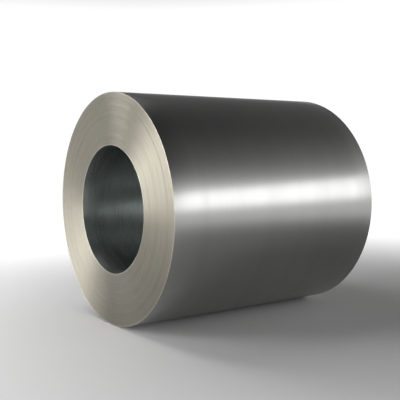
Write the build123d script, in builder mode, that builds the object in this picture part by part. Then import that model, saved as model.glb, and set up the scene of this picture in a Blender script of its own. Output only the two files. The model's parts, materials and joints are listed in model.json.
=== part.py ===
"""Steel coil: a single strip of cold-rolled sheet, wound tight on a mandrel and lying on its side.

The frame has its origin on the floor under the middle of the coil, +X along the bore, +Z up.
"""

import os
from math import acos, degrees

from build123d import *

# Driving sizes of the strip and of the mandrel that it was wound on, in millimetres
bore_diameter = 508.0
strip_width = 1000.0
strip_thickness = 2.0

# The turns lie in bands, from the bore outwards, and the winder laid each band a little to one side
band_turn_counts = (8, 5, 9, 6, 7, 10, 5, 8, 6, 11, 7, 9, 5, 9)
band_shift_shares = (0.0, 0.45, -0.3, 0.65, -0.1, -0.6, 0.3, 1.0, -0.45, 0.2, -1.0, 0.55, -0.15, 0.35)
wander = 1.0

# Small bevel that slitting and handling leave on the rims of the first and last turns
edge_break = 0.5

# Where the two ends of the strip lie, as angles about the bore counted from +Y towards +Z
head_angle = -140.0
tail_angle = -50.0

# How far each cut runs past the surface that it opens
cut_overrun = 5.0

bore_radius = bore_diameter / 2
outer_radius = bore_radius + sum(band_turn_counts) * strip_thickness

# The bore is level, one outer radius above the floor
bore_axis = Axis((0, 0, outer_radius), (1, 0, 0))
section_plane = Plane.XZ.shift_origin((0, 0, outer_radius))
end_plane = Plane.YZ.shift_origin((0, 0, outer_radius))


def polar(radius, angle):
    """A point on the end plane, at a radius from the bore's axis and an angle in degrees."""
    return Vector(radius, 0).rotate(Axis.Z, angle)


with BuildPart() as coil:
    # The coil is turned: each band of turns keeps the strip's width and is shifted whole along the bore
    with BuildSketch(section_plane):
        band_radius = bore_radius
        for turns, share in zip(band_turn_counts, band_shift_shares):
            band_height = turns * strip_thickness
            with Locations((share * wander, band_radius)):
                Rectangle(strip_width, band_height, align=(Align.CENTER, Align.MIN))
            band_radius += band_height
    revolve(axis=bore_axis)

    rims = coil.edges().filter_by(GeomType.CIRCLE).group_by(SortBy.RADIUS)
    chamfer(rims[0] + rims[-1], edge_break)

    # The tail ends the last turn in a step, and the turn under it rises to full size along a tangent
    tail_run = degrees(acos((outer_radius - strip_thickness) / outer_radius))
    with BuildSketch(end_plane):
        with BuildLine():
            Polyline(
                polar(outer_radius - strip_thickness, tail_angle),
                polar(outer_radius + cut_overrun, tail_angle),
                polar(outer_radius + cut_overrun, tail_angle + tail_run),
                polar(outer_radius, tail_angle + tail_run),
                close=True,
            )
        make_face()
    extrude(amount=strip_width, both=True, mode=Mode.SUBTRACT)

    # The first turn climbs over the head of the strip, and a wedge stays open beside the head's edge
    head_run = degrees(acos(bore_radius / (bore_radius + strip_thickness)))
    with BuildSketch(end_plane):
        with BuildLine():
            Polyline(
                polar(bore_radius + strip_thickness, head_angle),
                polar(bore_radius - cut_overrun, head_angle),
                polar(bore_radius - cut_overrun, head_angle - head_run),
                polar(bore_radius, head_angle - head_run),
                close=True,
            )
        make_face()
    extrude(amount=strip_width, both=True, mode=Mode.SUBTRACT)

coil.part.label = "coil"

os.makedirs("parts", exist_ok=True)
export_step(coil.part, "parts/coil.step")
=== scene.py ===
"""Steel coil: one strip of cold-rolled sheet, wound turn on turn, lying on a pale studio floor."""

import json
from math import pi, radians
from typing import NamedTuple

import bpy
import numpy as np
from bpy.props import FloatProperty, FloatVectorProperty, IntProperty, PointerProperty
from mathutils import Euler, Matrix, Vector


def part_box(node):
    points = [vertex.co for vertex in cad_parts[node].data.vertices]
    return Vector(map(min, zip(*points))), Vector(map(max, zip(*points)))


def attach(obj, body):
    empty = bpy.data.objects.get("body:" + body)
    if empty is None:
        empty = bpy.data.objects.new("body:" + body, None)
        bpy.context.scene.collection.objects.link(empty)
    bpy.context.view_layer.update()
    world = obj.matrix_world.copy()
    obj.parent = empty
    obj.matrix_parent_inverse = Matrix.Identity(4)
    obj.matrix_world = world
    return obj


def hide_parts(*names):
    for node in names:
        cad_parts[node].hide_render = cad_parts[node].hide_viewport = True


bl_info = {
    "name": "Wound steel coil",
    "version": (1, 0, 0),
    "blender": (4, 5, 0),
    "location": "View3D > Sidebar > Steel coil",
    "description": "Winds a coil of steel strip turn by turn and sets it on a studio floor",
    "category": "Mesh",
}

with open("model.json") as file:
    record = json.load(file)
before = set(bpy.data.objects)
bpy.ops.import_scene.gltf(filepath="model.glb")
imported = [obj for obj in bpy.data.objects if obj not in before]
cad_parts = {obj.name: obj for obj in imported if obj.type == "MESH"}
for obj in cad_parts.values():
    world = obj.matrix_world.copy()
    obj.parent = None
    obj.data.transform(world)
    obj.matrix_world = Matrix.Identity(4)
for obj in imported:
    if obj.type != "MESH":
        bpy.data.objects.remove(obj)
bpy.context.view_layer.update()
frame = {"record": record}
COIL_LOW, COIL_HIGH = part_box("coil")
BORE = next(mount for mount in frame["record"]["mounts"] if mount["name"] == "mandrel_bore")

MILLIMETRE = 0.001
BAKE_MAP = "OFBake"
TURN_ATTRIBUTE = "turn"
# Point attribute of the rims' wear and painted rim highlight
WEAR_AND_HIGHLIGHT_ATTRIBUTE = "rim_wear"

# Turns in each band, from the bore outwards, how far to one side the winder laid the band, and the
# number of turns over which one band passes into the next
BAND_TURN_COUNTS = (8, 5, 9, 6, 7, 10, 5, 8, 6, 11, 7, 9, 5, 9)
BAND_SHIFT_SHARES = (0.0, 0.45, -0.3, 0.65, -0.1, -0.6, 0.3, 1.0, -0.45, 0.2, -1.0, 0.55, -0.15, 0.35)
BAND_RUN = 5

# How far the bands of the plain solid stand out past the strip's width on each end
SOLID_WANDER = 1 * MILLIMETRE

# Knots per turn of the drifts that sink a turn and tilt its edge
SINK_KNOTS = 1.7
TILT_KNOTS = 1

# Points round the quarter circle of a rim
RIM_POINTS = 4

# Turns from a rim up to which the edges are worn and carry a painted highlight all over, and at which the
# wear and the painted highlight are gone
WEAR_AND_HIGHLIGHT_WHOLE = 1
WEAR_AND_HIGHLIGHT_GONE = 3

# Where each surface lies on the bake map, from its lower to its upper share of the map's height
NEAR_END_SHARES = (0.005, 0.225)
FAR_END_SHARES = (0.235, 0.455)
WRAP_SHARES = (0.465, 0.745)
BORE_SHARES = (0.755, 0.965)
HEAD_SHARES = (0.972, 0.980)
TAIL_SHARES = (0.986, 0.994)

# Share of the map's width that each tip of the strip's two cut ends takes
TIP_SHARE = 0.01

# Order of the coil's materials
ROLLED, SLIT, BORED = range(3)

# Noise on a rolled face: cells per metre along X, Y and Z, steps of detail, and the relief of its lines
FINE_LINES = (900, 2, 2)
FINE_DETAIL = 3
BROAD_BANDS = (22, 0.8, 0.8)
BROAD_DETAIL = 4
LINE_STRENGTH = 0.04
LINE_DEPTH = 0.5 * MILLIMETRE

# Noise on the slit edges: cells per turn, steps of detail, and the radius of the circle that the dashes
# are laid on
RING_CELLS = 0.8
DASH_CELLS = 0.9
EDGE_DETAIL = 2
DASH_CIRCLE = 9

# Middle of two added noises, how far from it they reach, the factors of colour and roughness that they
# run between, and the factor of colour where an edge is worn and painted brighter as a rim highlight
NOISE_MIDDLE = 1.0
ROLLED_NOISE_REACH = 0.3
ROLLED_TONES = (0.96, 1.04)
ROLLED_ROUGHNESSES = (1.06, 0.94)
SLIT_NOISE_REACH = 0.35
SLIT_TONES = (0.9, 1.06)
SLIT_ROUGHNESSES = (1.08, 0.92)
WORN_AND_HIGHLIGHT_TONE = 1.4

# Part of a circle that turns the shader's highlights, so that they are drawn out across the turns
HIGHLIGHT_TURN = 0.25

# Numbers of a mix node's colour sockets
MIX_FROM, MIX_TO = 6, 7
MIX_RESULT = 2

# Stops of the backdrop's brightness, by the height of the direction, and across it from the middle to
# the right
HORIZON_BY_HEIGHT = ((0.19, 1.0), (0.25, 0.4), (0.32, 0.11), (0.5, 0.06), (1.0, 0.045))
WIDE_GLOW_BY_HEIGHT = (
    (0.19, 0.0), (0.25, 0.6), (0.35, 0.5), (0.4, 0.34), (0.47, 0.27), (0.55, 0.16), (0.7, 0.07), (1.0, 0.0))
WIDE_GLOW_ACROSS = ((0.0, 0.0), (0.35, 1.0))
NARROW_GLOW_BY_HEIGHT = ((0.2, 0.0), (0.27, 0.35), (0.33, 0.45), (0.41, 0.2), (0.5, 0.05), (0.6, 0.0))
NARROW_GLOW_ACROSS = ((0.0, 0.0), (0.3, 1.0), (0.54, 1.0), (0.68, 0.0))
LIFT_ACROSS = ((0.5, 0.0), (0.75, 0.1), (0.8, 0.1), (0.95, 0.45))

# Directions towards the front between which the glows rise from nothing to whole
FRONT_START = 0.0
FRONT_FULL = -0.4

# The side that the near end faces is pale grey, so that highlights stand out against it: the share of
# the white that is left there on the backdrop and on the floor's glow, and the directions across between
# which it falls
NEAR_SIDE_BACKDROP = 0.8
NEAR_SIDE_FLOOR = 0.78
NEAR_SIDE_START = -0.1
NEAR_SIDE_FULL = -0.6

# Glow of the floor: the point that it spreads from, the distances at which it starts and is whole, and
# its level
FLOOR_GLOW_CENTRE = (0.5, -0.3, 0)
FLOOR_GLOW_START = 0.7
FLOOR_GLOW_FULL = 3.0
FLOOR_GLOW_LEVEL = 0.92


class Softbox(NamedTuple):
    """A rectangular lamp.

    It has a name, the setting that holds its power, a width and height, a place, the point that it faces,
    a turn about the line to that point, and the angle that its light spreads over.
    """

    name: str
    power: str
    size: tuple
    place: tuple
    aim: tuple
    roll: float = 0
    spread: float = pi


NARROW_SPREAD = radians(75)
SOFTBOXES = (
    Softbox(
        "front_strip", "strip_lamp_watts", size=(3.8, 0.62), place=(1.45, -1.95, 0.86),
        aim=(0.37, -0.39, 0.5), roll=0.03, spread=NARROW_SPREAD),
    Softbox(
        "top_softbox", "top_lamp_watts", size=(1.2, 2.6), place=(-0.95, 1.5, 2.7), aim=(0, 0, 0)),
    Softbox(
        "left_softbox", "left_lamp_watts", size=(2.0, 2.35), place=(-3.21, 1.18, 1.31),
        aim=(-0.46, -0.01, 0.67), spread=NARROW_SPREAD),
)


class StripSizes(bpy.types.PropertyGroup):
    """Sizes of the strip and of the coil that it is wound into."""

    bore_radius: FloatProperty(
        name="Bore radius", description="Radius of the mandrel that the strip was wound on",
        default=BORE["dims"]["r_mm"] * MILLIMETRE, min=0.05, unit="LENGTH", precision=4)
    outer_radius: FloatProperty(
        name="Outer radius", description="Radius of the last turn at the strip's tail",
        default=(COIL_HIGH.z - COIL_LOW.z) / 2, min=0.1, unit="LENGTH", precision=4)
    axis_height: FloatProperty(
        name="Axis height", description="Height of the bore's axis above the floor",
        default=BORE["pos_m"][2], min=0.1, unit="LENGTH", precision=4)
    thickness: FloatProperty(
        name="Strip thickness", description="Thickness of the sheet",
        default=2 * MILLIMETRE, min=0.0005, unit="LENGTH", precision=5)
    wander: FloatProperty(
        name="Wander", description="Most that a band of turns lies to one side",
        default=0.7 * MILLIMETRE, min=0, unit="LENGTH", precision=5)
    width: FloatProperty(
        name="Strip width", description="Width of the strip, which is the length of the coil",
        default=COIL_HIGH.x - COIL_LOW.x - 2 * SOLID_WANDER, min=0.1, unit="LENGTH", precision=4)
    turn_jitter: FloatProperty(
        name="Turn jitter", description="Most that a single turn sinks below its band",
        default=0.15 * MILLIMETRE, min=0, unit="LENGTH", precision=5)
    edge_tilt: FloatProperty(
        name="Edge tilt", description="Most that one corner of a slit edge stands behind the other",
        default=0.05 * MILLIMETRE, min=0, unit="LENGTH", precision=5)
    corner: FloatProperty(
        name="Slit corner", description="How far a slit edge's corners lie in from the strip's two faces",
        default=0.1 * MILLIMETRE, min=0, unit="LENGTH", precision=5)
    rim: FloatProperty(
        name="Rim rounding", description="Rounding of the rims of the first and last turns",
        default=0.5 * MILLIMETRE, min=0, unit="LENGTH", precision=5)
    head_angle: FloatProperty(
        name="Head angle", description="Angle of the strip's first end, from +Y towards +Z",
        default=radians(-140), subtype="ANGLE")
    tail_angle: FloatProperty(
        name="Tail angle", description="Angle of the strip's last end, from +Y towards +Z",
        default=radians(-50), subtype="ANGLE")
    stations: IntProperty(
        name="Stations per turn", description="Points round one turn", default=192, min=24)
    rows: IntProperty(
        name="Rows", description="Faces along the coil between its rims", default=10, min=1)
    seed: IntProperty(
        name="Seed", description="Seed of the winding's small faults", default=7)


class SteelFinish(bpy.types.PropertyGroup):
    """Colours and finish of the strip's faces and edges."""

    rolled_colour: FloatVectorProperty(
        name="Rolled face", description="Colour of the bright outer face",
        default=(0.36, 0.362, 0.355), min=0, max=1, subtype="COLOR")
    slit_colour: FloatVectorProperty(
        name="Slit edges", description="Colour of the turns' edges on the two ends",
        default=(0.32, 0.30, 0.25), min=0, max=1, subtype="COLOR")
    bore_colour: FloatVectorProperty(
        name="Bore face", description="Colour of the first turn inside the bore",
        default=(0.50, 0.53, 0.52), min=0, max=1, subtype="COLOR")
    rolled_roughness: FloatProperty(
        name="Rolled roughness", description="Roughness of the bright outer face",
        default=0.3, min=0, max=1, subtype="FACTOR")
    slit_roughness: FloatProperty(
        name="Slit roughness", description="Roughness of the turns' edges",
        default=0.45, min=0, max=1, subtype="FACTOR")
    bore_roughness: FloatProperty(
        name="Bore roughness", description="Roughness inside the bore",
        default=0.28, min=0, max=1, subtype="FACTOR")
    rolled_grain: FloatProperty(
        name="Rolled grain", description="How far the lines on the rolled faces draw out a highlight",
        default=0.6, min=0, max=1, subtype="FACTOR")
    slit_grain: FloatProperty(
        name="Slit grain", description="How far the turns' edges draw out a highlight",
        default=0.95, min=0, max=1, subtype="FACTOR")


class StudioSettings(bpy.types.PropertyGroup):
    """Floor, lamps and camera."""

    floor_colour: FloatVectorProperty(
        name="Floor", description="Colour of the floor",
        default=(0.7, 0.7, 0.7), min=0, max=1, subtype="COLOR")
    floor_reach: FloatProperty(
        name="Floor reach", description="Distance from the coil to the floor's edge",
        default=80, min=1, unit="LENGTH")
    strip_lamp_watts: FloatProperty(
        name="Strip lamp", description="Power of the long lamp in front",
        default=3.3, min=0, unit="POWER")
    top_lamp_watts: FloatProperty(
        name="Top lamp", description="Power of the soft lamp overhead",
        default=36, min=0, unit="POWER")
    left_lamp_watts: FloatProperty(
        name="Left lamp", description="Power of the lamp that faces the near end",
        default=18.5, min=0, unit="POWER")
    camera_place: FloatVectorProperty(
        name="Camera", description="Place of the camera",
        default=(-1.780, -2.424, 0.712), subtype="TRANSLATION", unit="LENGTH")
    camera_yaw: FloatProperty(
        name="Yaw", description="Turn of the camera from +Y towards +X",
        default=radians(35.25), subtype="ANGLE")
    camera_pitch: FloatProperty(
        name="Pitch", description="How far the camera looks down",
        default=radians(4.41), subtype="ANGLE")
    camera_lens: FloatProperty(
        name="Lens", description="Focal length on a 36 mm sensor",
        default=61.96, min=1, unit="CAMERA")


class Spiral(NamedTuple):
    """Stations along the strip: the turn number, angle, inner radius and outer radius of each."""

    turn: np.ndarray
    angle: np.ndarray
    inner: np.ndarray
    outer: np.ndarray


class Corners(NamedTuple):
    """One line of corners along the strip's edge: the points' numbers and their places along the bore."""

    numbers: np.ndarray
    along: np.ndarray


class Edge(NamedTuple):
    """The strip's edge on one end of the coil, with its corners towards the bore and away from it."""

    inner: Corners
    outer: Corners


class CoilSurface:
    """The surface of the coil, gathered part by part as whole arrays."""

    def __init__(self):
        self.points = []
        self.turns = []
        self.point_count = 0
        self.corners = []
        self.corner_counts = []
        self.maps = []
        self.finishes = []
        self.smooth = []

    def add_points(self, points, turns):
        """Take in a grid of points with their turn numbers, and return the grid of their own numbers."""
        shape = points.shape[:-1]
        numbers = self.point_count + np.arange(np.prod(shape)).reshape(shape)
        self.points.append(points.reshape(-1, 3))
        self.turns.append(np.broadcast_to(turns, shape).ravel())
        self.point_count += numbers.size
        return numbers

    def add_faces(self, corners, across, upwards, finish, flip=False, smooth=False):
        """Take in faces: their corners' numbers, and the corners' places across and up the bake map.

        Where flip is true, the corners are taken the other way round, so that the faces look the other way.
        """
        order = -1 if flip else 1
        face_count, corner_count = corners.shape
        self.corners.append(corners[:, ::order].ravel())
        self.corner_counts.append(np.full(face_count, corner_count))
        self.maps.append(np.stack((across, upwards), axis=-1)[:, ::order].ravel())
        self.finishes.append(np.full(face_count, finish))
        self.smooth.append(np.full(face_count, smooth))

    def to_mesh(self, name):
        """A mesh of all the parts, with the bake map and the attributes that the finishes read."""
        mesh = bpy.data.meshes.new(name)
        turns = np.concatenate(self.turns)
        corner_counts = np.concatenate(self.corner_counts)
        first_corners = np.cumsum(corner_counts) - corner_counts
        mesh.vertices.add(self.point_count)
        mesh.vertices.foreach_set("co", np.vstack(self.points).astype(np.float32).ravel())
        mesh.loops.add(corner_counts.sum())
        mesh.loops.foreach_set("vertex_index", np.concatenate(self.corners).astype(np.int32))
        mesh.polygons.add(len(corner_counts))
        mesh.polygons.foreach_set("loop_start", first_corners.astype(np.int32))
        mesh.polygons.foreach_set("material_index", np.concatenate(self.finishes).astype(np.int32))
        mesh.polygons.foreach_set("use_smooth", np.concatenate(self.smooth))
        mesh.update(calc_edges=True)
        bake_map = mesh.uv_layers.new(name=BAKE_MAP)
        bake_map.uv.foreach_set("vector", np.concatenate(self.maps).astype(np.float32))
        for attribute, values in ((TURN_ATTRIBUTE, turns), (WEAR_AND_HIGHLIGHT_ATTRIBUTE, rim_wear(turns))):
            stored = mesh.attributes.new(attribute, "FLOAT", "POINT")
            stored.data.foreach_set("value", values.astype(np.float32))
        if mesh.validate(verbose=True):
            raise RuntimeError(f"{name} has faces that had to be repaired")
        return mesh


def rim_wear(turn):
    """Share of wear and of painted rim highlight at each turn number.

    It is 1 up to WEAR_AND_HIGHLIGHT_WHOLE turns from the nearer rim, and falls in a straight line to 0 at
    WEAR_AND_HIGHLIGHT_GONE turns.
    """
    from_rim = np.minimum(turn, turn.max() - turn)
    return np.clip((WEAR_AND_HIGHLIGHT_GONE - from_rim) / (WEAR_AND_HIGHLIGHT_GONE - WEAR_AND_HIGHLIGHT_WHOLE), 0, 1)


def spiral(sizes):
    """Stations along the strip, which is an Archimedean spiral.

    The turn number counts whole circles from the head. The angle is the head's angle plus that many
    circles. The inner radius is the bore's radius plus one pitch for each turn, and the outer radius is
    one pitch more. The pitch is the coil's wall, shared among the spiral's turns and the thickness of the
    last one.
    """
    wall = sizes.outer_radius - sizes.bore_radius
    part_turn = (sizes.tail_angle - sizes.head_angle) / (2 * pi) % 1
    turns = round(wall / sizes.thickness) - 1 + part_turn
    turn = np.arange(round(turns * sizes.stations) + 1) / sizes.stations
    pitch = wall / (turn[-1] + 1)
    inner = sizes.bore_radius + pitch * turn
    return Spiral(turn, sizes.head_angle + 2 * pi * turn, inner, inner + pitch)


def band_shift(turn, sizes):
    """How far to one side the strip lies at each turn number.

    It is each band's share of the wander, and passes to the next band's share in a straight run of
    BAND_RUN turns, half of them before the end of the band and half after it.
    """
    ends = np.cumsum(BAND_TURN_COUNTS)[:-1]
    knots = np.column_stack((ends - BAND_RUN / 2, ends + BAND_RUN / 2)).ravel()
    shares = np.repeat(BAND_SHIFT_SHARES, 2)[1:-1]
    return sizes.wander * np.interp(turn, knots, shares)


def drift(random, turn, knots_per_turn):
    """A random share from 0 to 1 that drifts along the strip.

    It runs straight between knots, which are set evenly by turn number.
    """
    knots = np.arange(int(turn[-1] * knots_per_turn) + 2) / knots_per_turn
    return np.interp(turn, knots, random.random(len(knots)))


def place(along, radius, angle, sizes):
    """Points at a distance along the bore, a radius from its axis and an angle from +Y towards +Z."""
    return np.stack(
        (along, radius * np.cos(angle), sizes.axis_height + radius * np.sin(angle)), axis=-1)


def share_between(shares, part):
    """The share that lies a part of the way from the first of two shares to the second."""
    return shares[0] + (shares[1] - shares[0]) * part


def ribbon(first, second):
    """Four corners of each face between two lines: from the first to the second, on along it, and back."""
    return np.stack((first[:-1], second[:-1], second[1:], first[1:]), axis=-1)


def grid(values):
    """Four corners of each face of a grid: from a value to the next row, the next column, and back."""
    corners = np.stack((values[:-1, :-1], values[1:, :-1], values[1:, 1:], values[:-1, 1:]), axis=-1)
    return corners.reshape(-1, 4)


def edge_corners(strip, side, sizes, random):
    """Inner and outer corners of the strip's edge on one end, each as places along the bore and radii.

    Along the bore a corner stands half the width from the middle, shifted with its band. It sinks by a
    drift of the turn jitter, and by a drift of the edge tilt of its own. Across, the corners come in from
    the strip's two faces by the slit corner, or by the rim rounding on the first and last turns.
    """
    turn = strip.turn
    sunk = sizes.turn_jitter * drift(random, turn, SINK_KNOTS)
    corners = []
    for radius, inset, at_rim in ((strip.inner, 1, turn <= 1), (strip.outer, -1, turn >= turn[-1] - 1)):
        tilt = sizes.edge_tilt * drift(random, turn, TILT_KNOTS)
        along = side * (sizes.width / 2 - sunk - tilt) + band_shift(turn, sizes)
        corners.append((along, radius + inset * np.where(at_rim, sizes.rim, sizes.corner)))
    return corners


def face_rows(near, far, radius, bulge, sizes):
    """Places along the bore and radii of a rolled face's points, in rows from the near end to the far one.

    A rim is a quarter circle from the edge's corner to the face. Between the rims the rows are evenly
    spaced.
    """
    quarter = np.linspace(0, pi / 2, RIM_POINTS)
    rise = sizes.rim * np.sin(quarter)
    run = sizes.rim * (1 - np.cos(quarter))
    shares = np.linspace(0, 1, sizes.rows + 1)[1:-1]
    near_rim = near[:, None] + run
    far_rim = far[:, None] - run[::-1]
    span = (far_rim[:, 0] - near_rim[:, -1])[:, None]
    along = np.hstack((near_rim, near_rim[:, -1:] + shares * span, far_rim))
    flat = np.full(sizes.rows - 1, sizes.rim)
    lift = np.concatenate((rise, flat, rise[::-1]))
    return along, radius[:, None] + bulge * (lift - sizes.rim)


def wind_end(surface, strip, side, shares, sizes, random):
    """Add one end of the coil, and return the strip's edge on it.

    The end is a ribbon that follows the edge: one face across the edge, and one from its outer corner to
    the inner corner of the next turn. It lies unrolled on the bake map, with a lap across and the radius
    upwards.
    """
    lap = sizes.stations
    wall = sizes.outer_radius - sizes.bore_radius
    start = np.arange(len(strip.turn) - 1) % lap / lap
    end = start + 1 / lap
    around = np.stack((start, start, end, end), axis=-1)
    lines = []
    heights = []
    for along, radius in edge_corners(strip, side, sizes, random):
        numbers = surface.add_points(place(along, radius, strip.angle, sizes), strip.turn)
        lines.append(Corners(numbers, along))
        heights.append(share_between(shares, (radius - sizes.bore_radius) / wall))
    edge = Edge(*lines)
    inner, outer = edge.inner.numbers, edge.outer.numbers
    inner_height, outer_height = heights
    flip = side < 0
    surface.add_faces(ribbon(inner, outer), around, ribbon(inner_height, outer_height), SLIT, flip)
    next_turn = ribbon(outer[:-lap], inner[lap:])
    next_height = ribbon(outer_height[:-lap], inner_height[lap:])
    surface.add_faces(next_turn, around[:-lap], next_height, SLIT, flip)
    return edge


def wind_face(surface, strip, lap, near, far, bulge, finish, shares, sizes):
    """Add one lap of a rolled face between the corners of the strip's two edges, and return its points.

    Stations run round the coil and rows along it. The face is the strip's outer one where bulge is 1, and
    its inner one where bulge is -1. It lies flat on the bake map, with the lap across and the bore's
    length upwards.
    """
    radius = strip.outer[lap] if bulge > 0 else strip.inner[lap]
    along, lifted = face_rows(near.along[lap], far.along[lap], radius, bulge, sizes)
    points = place(along, lifted, strip.angle[lap][:, None], sizes)
    inside = surface.add_points(points[:, 1:-1], strip.turn[lap][:, None])
    numbers = np.column_stack((near.numbers[lap], inside, far.numbers[lap]))
    around = np.broadcast_to(np.linspace(0, 1, len(along))[:, None], along.shape)
    reach = sizes.width / 2 + sizes.wander
    height = share_between(shares, (along + reach) / (2 * reach))
    surface.add_faces(grid(numbers), grid(around), grid(height), finish, flip=bulge < 0, smooth=True)
    return numbers


def cut_strip(surface, low, high, near_tip, far_tip, shares, flip):
    """Add the strip's cut end, which closes the step between a line of points and the line a lap on.

    A ribbon joins the two lines, and at each end of it a triangle reaches to the edge's third corner.
    """
    across = np.linspace(TIP_SHARE, 1 - TIP_SHARE, len(low))
    bottom, top = (np.full(len(low), share) for share in shares)
    surface.add_faces(ribbon(high, low), ribbon(across, across), ribbon(top, bottom), SLIT, flip)
    middle = sum(shares) / 2
    tips = np.array(((high[0], near_tip, low[0]), (low[-1], far_tip, high[-1])))
    tips_across = np.array(((across[0], 0, across[0]), (across[-1], 1, across[-1])))
    tips_height = np.array(((top[0], middle, bottom[0]), (bottom[0], middle, top[0])))
    surface.add_faces(tips, tips_across, tips_height, SLIT, flip)


def wind(sizes):
    """The whole coil as one closed surface.

    It has the two ends, the first lap's inner face as the bore, the last lap's outer face as the wrap, and
    the strip's tail and head, which close the steps that are left.
    """
    random = np.random.default_rng(sizes.seed)
    strip = spiral(sizes)
    surface = CoilSurface()
    near = wind_end(surface, strip, -1, NEAR_END_SHARES, sizes, random)
    far = wind_end(surface, strip, 1, FAR_END_SHARES, sizes, random)
    first_lap = slice(None, sizes.stations + 1)
    last_lap = slice(-sizes.stations - 1, None)
    bore = wind_face(surface, strip, first_lap, near.inner, far.inner, -1, BORED, BORE_SHARES, sizes)
    wrap = wind_face(surface, strip, last_lap, near.outer, far.outer, 1, ROLLED, WRAP_SHARES, sizes)
    tail_tips = near.inner.numbers[-1], far.inner.numbers[-1]
    head_tips = near.outer.numbers[0], far.outer.numbers[0]
    cut_strip(surface, wrap[0], wrap[-1], *tail_tips, TAIL_SHARES, flip=False)
    cut_strip(surface, bore[0], bore[-1], *head_tips, HEAD_SHARES, flip=True)
    return surface


def add_node(tree, kind, inputs=None, **settings):
    """A node with its settings, and its inputs set to a value or linked from another node's output."""
    node = tree.nodes.new(kind)
    for name, value in settings.items():
        setattr(node, name, value)
    for name, value in (inputs or {}).items():
        if isinstance(value, bpy.types.NodeSocket):
            tree.links.new(value, node.inputs[name])
        else:
            node.inputs[name].default_value = value
    return node


def calculate(tree, operation, *values):
    """The result of a sum on two or three numbers, each a value or another node's output."""
    return add_node(tree, "ShaderNodeMath", dict(enumerate(values)), operation=operation).outputs[0]


def vector_result(tree, operation, vector, result="Vector"):
    """The result of a sum on one vector, which is another node's output."""
    return add_node(tree, "ShaderNodeVectorMath", {0: vector}, operation=operation).outputs[result]


def mapped(tree, vector, **changes):
    """A vector times a Scale and plus a Location, where they are given."""
    return add_node(tree, "ShaderNodeMapping", {"Vector": vector, **changes}).outputs["Vector"]


def noise(tree, dimensions="3D", **inputs):
    """The level of a noise, from 0 to 1."""
    return add_node(tree, "ShaderNodeTexNoise", inputs, noise_dimensions=dimensions).outputs["Fac"]


def value_between(tree, value, start, full, low, high, interpolation="LINEAR"):
    """A number that runs from low to high as a value goes from start to full."""
    span = {"Value": value, "From Min": start, "From Max": full, "To Min": low, "To Max": high}
    return add_node(tree, "ShaderNodeMapRange", span, interpolation_type=interpolation).outputs["Result"]


def shade_between(tree, factor, dark, light):
    """A colour that runs from dark to light with a factor from 0 to 1."""
    colours = {"Factor": factor, MIX_FROM: dark, MIX_TO: light}
    return add_node(tree, "ShaderNodeMix", colours, data_type="RGBA").outputs[MIX_RESULT]


def toned(colour, factor):
    """An opaque colour, which is a colour times a factor."""
    return (*(min(channel * factor, 1) for channel in colour), 1)


def noise_tone(tree, first, second, reach):
    """A tone from 0 to 1: two noises added, and stretched so that their reach about the middle fills it."""
    added = calculate(tree, "ADD", first, second)
    return value_between(tree, added, NOISE_MIDDLE - reach, NOISE_MIDDLE + reach, 0, 1)


def steel(name, grain):
    """A steel material, and its shader with a grain that runs round the bore's axis."""
    material = bpy.data.materials.new(name)
    material.use_nodes = True
    tree = material.node_tree
    shader = tree.nodes["Principled BSDF"]
    tangent = add_node(tree, "ShaderNodeTangent", direction_type="UV_MAP", uv_map=BAKE_MAP)
    tree.links.new(tangent.outputs["Tangent"], shader.inputs["Tangent"])
    shader.inputs["Metallic"].default_value = 1
    shader.inputs["Anisotropic"].default_value = grain
    shader.inputs["Anisotropic Rotation"].default_value = HIGHLIGHT_TURN
    return material, tree, shader


def rolled_face(name, colour, roughness, grain):
    """Bright rolled face: fine lines run round the coil, and broad bands of the mill's wear with them."""
    material, tree, shader = steel(name, grain)
    coordinates = add_node(tree, "ShaderNodeTexCoord").outputs["Object"]
    lines = noise(tree, Vector=mapped(tree, coordinates, Scale=FINE_LINES), Scale=1, Detail=FINE_DETAIL)
    bands = noise(tree, Vector=mapped(tree, coordinates, Scale=BROAD_BANDS), Scale=1, Detail=BROAD_DETAIL)
    tone = noise_tone(tree, lines, bands, ROLLED_NOISE_REACH)
    shade = shade_between(tree, tone, *(toned(colour, factor) for factor in ROLLED_TONES))
    gloss = value_between(tree, tone, 0, 1, *(roughness * factor for factor in ROLLED_ROUGHNESSES))
    relief = {"Height": lines, "Strength": LINE_STRENGTH, "Distance": LINE_DEPTH}
    tree.links.new(shade, shader.inputs["Base Color"])
    tree.links.new(gloss, shader.inputs["Roughness"])
    tree.links.new(add_node(tree, "ShaderNodeBump", relief).outputs["Normal"], shader.inputs["Normal"])
    return material


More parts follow.
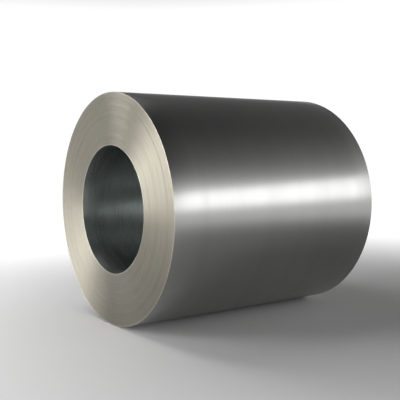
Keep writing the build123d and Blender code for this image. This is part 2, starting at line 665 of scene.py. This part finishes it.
def slit_edges(name, colour, roughness, grain, axis_height):
    """Edges of the turns: each has its own tone, short dashes run round it, and the rims are worn and
    painted bright as a rim highlight.
    """
    material, tree, shader = steel(name, grain)
    turn = add_node(tree, "ShaderNodeAttribute", attribute_name=TURN_ATTRIBUTE).outputs["Fac"]
    wear_and_highlight = add_node(tree, "ShaderNodeAttribute", attribute_name=WEAR_AND_HIGHLIGHT_ATTRIBUTE).outputs["Fac"]
    coordinates = add_node(tree, "ShaderNodeTexCoord").outputs["Object"]
    from_axis = mapped(tree, coordinates, Location=(0, 0, -axis_height), Scale=(0, 1, 1))
    spoke = vector_result(tree, "NORMALIZE", from_axis)
    circle = mapped(tree, spoke, Scale=(DASH_CIRCLE, DASH_CIRCLE, DASH_CIRCLE))
    rings = noise(tree, "1D", W=turn, Scale=RING_CELLS, Detail=EDGE_DETAIL)
    dashes = noise(tree, "4D", Vector=circle, W=turn, Scale=DASH_CELLS, Detail=EDGE_DETAIL)
    tone = noise_tone(tree, rings, dashes, SLIT_NOISE_REACH)
    shade = shade_between(tree, tone, *(toned(colour, factor) for factor in SLIT_TONES))
    # Rims painted brighter: partly wear, partly a painted highlight along the rims
    shade = shade_between(tree, wear_and_highlight, shade, toned(colour, WORN_AND_HIGHLIGHT_TONE))
    gloss = value_between(tree, tone, 0, 1, *(roughness * factor for factor in SLIT_ROUGHNESSES))
    tree.links.new(shade, shader.inputs["Base Color"])
    tree.links.new(gloss, shader.inputs["Roughness"])
    return material


class COIL_OT_wind(bpy.types.Operator):
    """Wind the strip into a coil in place of the plain turned solid"""

    bl_idname = "coil.wind"
    bl_label = "Wind the coil"

    def execute(self, context):
        sizes, steels = context.scene.coil_sizes, context.scene.coil_finish
        finishes = {
            ROLLED: rolled_face(
                "rolled_face", steels.rolled_colour, steels.rolled_roughness, steels.rolled_grain),
            SLIT: slit_edges(
                "slit_edges", steels.slit_colour, steels.slit_roughness, steels.slit_grain,
                sizes.axis_height),
            BORED: rolled_face(
                "bore_face", steels.bore_colour, steels.bore_roughness, steels.rolled_grain),
        }
        mesh = wind(sizes).to_mesh("wound_coil")
        for finish in sorted(finishes):
            mesh.materials.append(finishes[finish])
        coil = bpy.data.objects.new("wound_coil", mesh)
        context.scene.collection.objects.link(coil)
        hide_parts("coil")
        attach(coil, "root")
        return {"FINISHED"}


def near_side_share(tree, direction, share):
    """Share of white in a direction: whole ahead, falling smoothly to a share on the near end's side."""
    across = add_node(tree, "ShaderNodeSeparateXYZ", {0: direction}).outputs["X"]
    return value_between(tree, across, NEAR_SIDE_START, NEAR_SIDE_FULL, 1, share, "SMOOTHSTEP")


def floor_finish(colour):
    """Pale matt floor that glows a little away from the coil, so that it runs into the white backdrop.

    The glow is seen by what looks at the floor straight, in a mirror or through glass. Its level rises
    smoothly with the distance from its centre, times the share of white that the near end's side leaves.
    """
    material = bpy.data.materials.new("pale_floor")
    material.use_nodes = True
    tree = material.node_tree
    shader = tree.nodes["Principled BSDF"]
    shader.inputs["Base Color"].default_value = (*colour, 1)
    shader.inputs["Roughness"].default_value = 1
    shader.inputs["Specular IOR Level"].default_value = 0
    shader.inputs["Emission Color"].default_value = (1, 1, 1, 1)
    rays = add_node(tree, "ShaderNodeLightPath").outputs
    seen = calculate(tree, "MAXIMUM", rays["Is Camera Ray"], rays["Is Glossy Ray"])
    seen = calculate(tree, "MAXIMUM", seen, rays["Is Transmission Ray"])
    coordinates = add_node(tree, "ShaderNodeTexCoord").outputs["Object"]
    from_centre = mapped(tree, coordinates, Location=-Vector(FLOOR_GLOW_CENTRE))
    distance = vector_result(tree, "LENGTH", from_centre, "Value")
    lift = value_between(
        tree, distance, FLOOR_GLOW_START, FLOOR_GLOW_FULL, 0, FLOOR_GLOW_LEVEL, "SMOOTHSTEP")
    white = near_side_share(tree, vector_result(tree, "NORMALIZE", from_centre), NEAR_SIDE_FLOOR)
    glow = calculate(tree, "MULTIPLY", calculate(tree, "MULTIPLY", seen, lift), white)
    tree.links.new(glow, shader.inputs["Emission Strength"])
    return material


def studio_floor(studio):
    """A square floor, level with the underside of the coil."""
    reach = studio.floor_reach
    mesh = bpy.data.meshes.new("studio_floor")
    corners = [(-reach, -reach, 0), (reach, -reach, 0), (reach, reach, 0), (-reach, reach, 0)]
    mesh.from_pydata(corners, [], [(0, 1, 2, 3)])
    mesh.materials.append(floor_finish(studio.floor_colour))
    return bpy.data.objects.new("studio_floor", mesh)


def level_between(tree, value, stops):
    """Grey level that runs in straight lines between stops of a value."""
    ramp = add_node(tree, "ShaderNodeValToRGB", {"Fac": value})
    elements = ramp.color_ramp.elements
    while len(elements) < len(stops):
        elements.new(1)
    for element, (position, level) in zip(elements, stops):
        element.position = position
        element.color = (level, level, level, 1)
    return ramp.outputs["Color"]


def studio_world():
    """Backdrop, white near the horizon and dark overhead, with a wide and a narrow glow in front.

    Its level is that of the height, plus each glow's level at that height times its share across and in
    front, plus the lift across, all times the share of white that the near end's side leaves.
    """
    world = bpy.data.worlds.new("studio_world")
    world.use_nodes = True
    tree = world.node_tree
    direction = add_node(tree, "ShaderNodeTexCoord").outputs["Generated"]
    parts = add_node(tree, "ShaderNodeSeparateXYZ", {0: direction}).outputs
    front_share = value_between(tree, parts["Y"], FRONT_START, FRONT_FULL, 0, 1, "SMOOTHSTEP")
    level = level_between(tree, parts["Z"], HORIZON_BY_HEIGHT)
    glows = ((WIDE_GLOW_BY_HEIGHT, WIDE_GLOW_ACROSS), (NARROW_GLOW_BY_HEIGHT, NARROW_GLOW_ACROSS))
    for by_height, across in glows:
        glow = level_between(tree, parts["Z"], by_height)
        share = calculate(tree, "MULTIPLY", level_between(tree, parts["X"], across), front_share)
        level = calculate(tree, "MULTIPLY_ADD", glow, share, level)
    level = calculate(tree, "ADD", level, level_between(tree, parts["X"], LIFT_ACROSS))
    level = calculate(tree, "MULTIPLY", level, near_side_share(tree, direction, NEAR_SIDE_BACKDROP))
    tree.links.new(level, tree.nodes["Background"].inputs["Color"])
    return world


def hang_lamp(softbox, watts):
    """A soft rectangular lamp that faces a point and is turned about the line to it."""
    lamp = bpy.data.lights.new(softbox.name, "AREA")
    lamp.energy = watts
    lamp.shape = "RECTANGLE"
    lamp.size, lamp.size_y = softbox.size
    lamp.spread = softbox.spread
    hung = bpy.data.objects.new(softbox.name, lamp)
    hung.location = softbox.place
    facing = (Vector(softbox.aim) - Vector(softbox.place)).to_track_quat("-Z", "Y")
    hung.rotation_euler = (facing @ Euler((0, 0, softbox.roll)).to_quaternion()).to_euler()
    hung.visible_camera = False
    return hung


def photo_camera(studio):
    """A camera at the photograph's place, turned from +Y towards +X and tipped down."""
    camera = bpy.data.objects.new("photo_camera", bpy.data.cameras.new("photo_camera"))
    camera.data.lens = studio.camera_lens
    camera.location = studio.camera_place
    camera.rotation_euler = (pi / 2 - studio.camera_pitch, 0, -studio.camera_yaw)
    return camera


class COIL_OT_stage(bpy.types.Operator):
    """Lay the floor, hang the lamps and set the camera"""

    bl_idname = "coil.stage"
    bl_label = "Set the stage"

    def execute(self, context):
        scene, studio = context.scene, context.scene.coil_studio
        floor = studio_floor(studio)
        scene.collection.objects.link(floor)
        scene.world = studio_world()
        for softbox in SOFTBOXES:
            scene.collection.objects.link(hang_lamp(softbox, getattr(studio, softbox.power)))
        scene.camera = photo_camera(studio)
        scene.collection.objects.link(scene.camera)
        scene.view_settings.view_transform = "Standard"
        return {"FINISHED"}


class VIEW3D_PT_steel_coil(bpy.types.Panel):
    """Sizes, finish and stage of the steel coil"""

    bl_label = "Steel coil"
    bl_space_type = "VIEW_3D"
    bl_region_type = "UI"
    bl_category = "Steel coil"

    def draw(self, context):
        scene = context.scene
        wound = (scene.coil_sizes, scene.coil_finish)
        staged = (scene.coil_studio,)
        for groups, operator in ((wound, COIL_OT_wind), (staged, COIL_OT_stage)):
            box = self.layout.box()
            for group in groups:
                for name in group.__annotations__:
                    box.prop(group, name)
            box.operator(operator.bl_idname)


CLASSES = (StripSizes, SteelFinish, StudioSettings, COIL_OT_wind, COIL_OT_stage, VIEW3D_PT_steel_coil)


def register():
    """Register the classes and give the scene its settings."""
    for cls in CLASSES:
        bpy.utils.register_class(cls)
    bpy.types.Scene.coil_sizes = PointerProperty(type=StripSizes)
    bpy.types.Scene.coil_finish = PointerProperty(type=SteelFinish)
    bpy.types.Scene.coil_studio = PointerProperty(type=StudioSettings)


def unregister():
    """Remove the settings and the classes."""
    del bpy.types.Scene.coil_studio
    del bpy.types.Scene.coil_finish
    del bpy.types.Scene.coil_sizes
    for cls in reversed(CLASSES):
        bpy.utils.unregister_class(cls)


def main():
    """Build the coil and its stage."""
    register()
    bpy.ops.coil.wind()
    bpy.ops.coil.stage()


if __name__ == "__main__":
    main()
